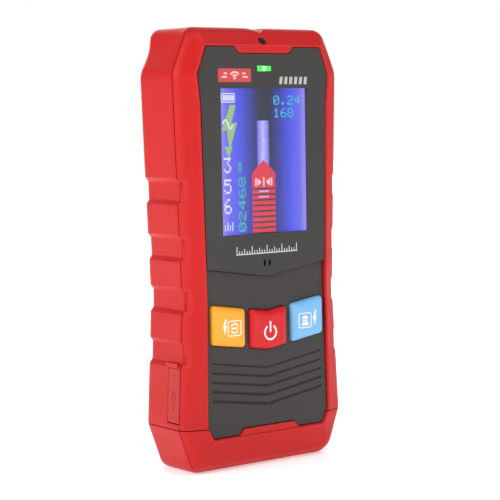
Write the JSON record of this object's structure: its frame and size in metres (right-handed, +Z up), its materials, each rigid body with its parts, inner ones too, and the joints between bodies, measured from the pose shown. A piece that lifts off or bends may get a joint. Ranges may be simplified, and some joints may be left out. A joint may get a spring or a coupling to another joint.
{
  "type": "stud finder",
  "caption": "Hand-held wall scanner with a dished red casing, finger recesses, colour display, three keys, charging port under a hinged cover and a slide-off battery cover.",
  "frame": {"origin": "centre of the bottom of the bounding box, standing on its lower cap", "axes": "+X to the right seen from the front, +Y from the front panel to the wall side, +Z up"},
  "size_m": [0.068, 0.027, 0.147],
  "materials": {
    "case_red": "moulded, satin",
    "panel_dark": "fine matt",
    "window": "smoked, glossy",
    "tape_black": "matt",
    "key_yellow": "satin",
    "key_red": "satin",
    "key_blue": "satin",
    "flap_red": "matt",
    "light_green": "clear",
    "sight_black": "gloss",
    "display_glass": "polished",
    "tray_white": "satin",
    "backlight": "diffusing",
    "flex_amber": "film",
    "connector_cream": "satin",
    "connector_black": "satin",
    "board_green": "solder mask",
    "chip_black": "matt",
    "steel_bright": "bright",
    "stem_black": "matt",
    "former_natural": "natural",
    "copper_wire": "enamelled",
    "copper_foil": "bright",
    "pack_blue": "shrink film",
    "foam_grey": "open foam",
    "lead_insulation": "satin",
    "screw_black": "blackened",
    "screw_zinc": "zinc",
    "felt_grey": "felt",
    "label_silver": "printed film",
    "led_body": "clear"
  },
  "bodies": {
    "casing": {"front_frame": "case_red", "front_chin": "case_red", "rear_shell": "case_red", "display_lens": "window", "lens_tape": "tape_black", "keypad_plate": "panel_dark", "switch_bodies": "steel_bright", "lcd_glass": "display_glass", "lcd_tray": "tray_white", "backlight_panel": "backlight", "lcd_flex": "flex_amber", "lcd_flex_socket": "connector_cream", "status_light_pipe": "light_green", "status_led": "led_body", "centre_sight": "sight_black", "main_board": "board_green", "board_chips": "chip_black", "shield_can": "steel_bright", "buzzer": "chip_black", "usb_socket": "steel_bright", "link_header": "connector_black", "link_receptacle": "connector_black", "sensor_board": "board_green", "sensor_plates": "copper_foil", "coil_former": "former_natural", "search_coil": "copper_wire", "battery_pack": "pack_blue", "battery_cushion": "foam_grey", "battery_lead": "lead_insulation", "battery_plug": "connector_cream", "battery_socket": "connector_cream", "case_screws": "screw_black", "upper_board_screws": "screw_zinc", "lower_board_screws": "screw_zinc", "sensor_screws": "screw_zinc", "chin_screws": "screw_zinc", "glide_pads": "felt_grey", "rating_label": "label_silver"},
    "left_key": {"left_key": "key_yellow", "left_switch_stem": "stem_black"},
    "power_key": {"power_key": "key_red", "power_switch_stem": "stem_black"},
    "right_key": {"right_key": "key_blue", "right_switch_stem": "stem_black"},
    "usb_cover": {"usb_cover": "flap_red"},
    "battery_cover": {"battery_cover": "case_red", "cover_glide_pad": "felt_grey"}
  },
  "joints": [
    {"name": "left_key_press", "type": "slide", "parent": "casing", "child": "left_key", "axis": [0, 1, 0], "range_m": [0, 0.0005], "stiffness_N_per_m": 4000},
    {"name": "power_key_press", "type": "slide", "parent": "casing", "child": "power_key", "axis": [0, 1, 0], "range_m": [0, 0.0005], "stiffness_N_per_m": 4000},
    {"name": "right_key_press", "type": "slide", "parent": "casing", "child": "right_key", "axis": [0, 1, 0], "range_m": [0, 0.0005], "stiffness_N_per_m": 4000},
    {"name": "usb_cover_hinge", "type": "hinge", "parent": "casing", "child": "usb_cover", "pos_m": [-0.03314, -0.0035, 0.0185], "axis": [0, -1, 0], "range_deg": [0, 100]},
    {"name": "battery_cover_slide", "type": "slide", "parent": "casing", "child": "battery_cover", "axis": [0, 0, -1], "range_m": [0, 0.066]}
  ]
}
